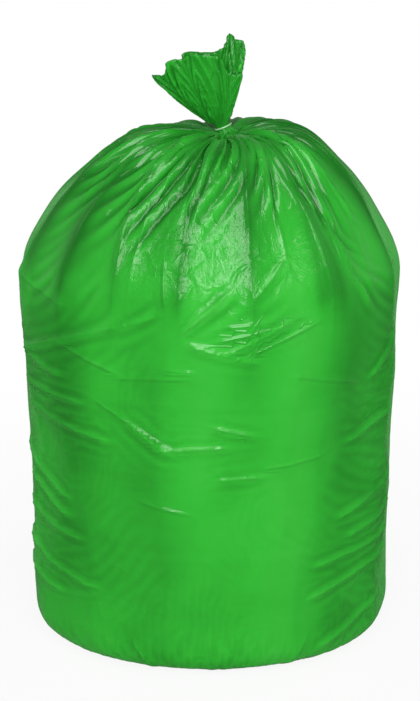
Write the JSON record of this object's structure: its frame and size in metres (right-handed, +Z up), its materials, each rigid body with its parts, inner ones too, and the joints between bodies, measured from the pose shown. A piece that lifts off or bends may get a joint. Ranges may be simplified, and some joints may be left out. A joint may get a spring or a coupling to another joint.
{
  "type": "filled and tied refuse bag",
  "caption": "Full polyethylene refuse bag standing upright, its film gathered at the neck and closed with a thin tie, the open mouth fanned out above.",
  "frame": {"origin": "on the floor under the middle of the bag's body", "axes": "+Z up towards the tied neck, front towards -Y, +X to the viewer's right"},
  "size_m": [0.4312, 0.4144, 0.7009],
  "materials": {
    "green_film": "glossy thin blown polyethylene film, translucent green",
    "tie_plastic": "pale plastic strand, slightly translucent"
  },
  "bodies": {
    "root": {"bag": "green_film", "neck_tie": "tie_plastic"}
  },
  "joints": []
}
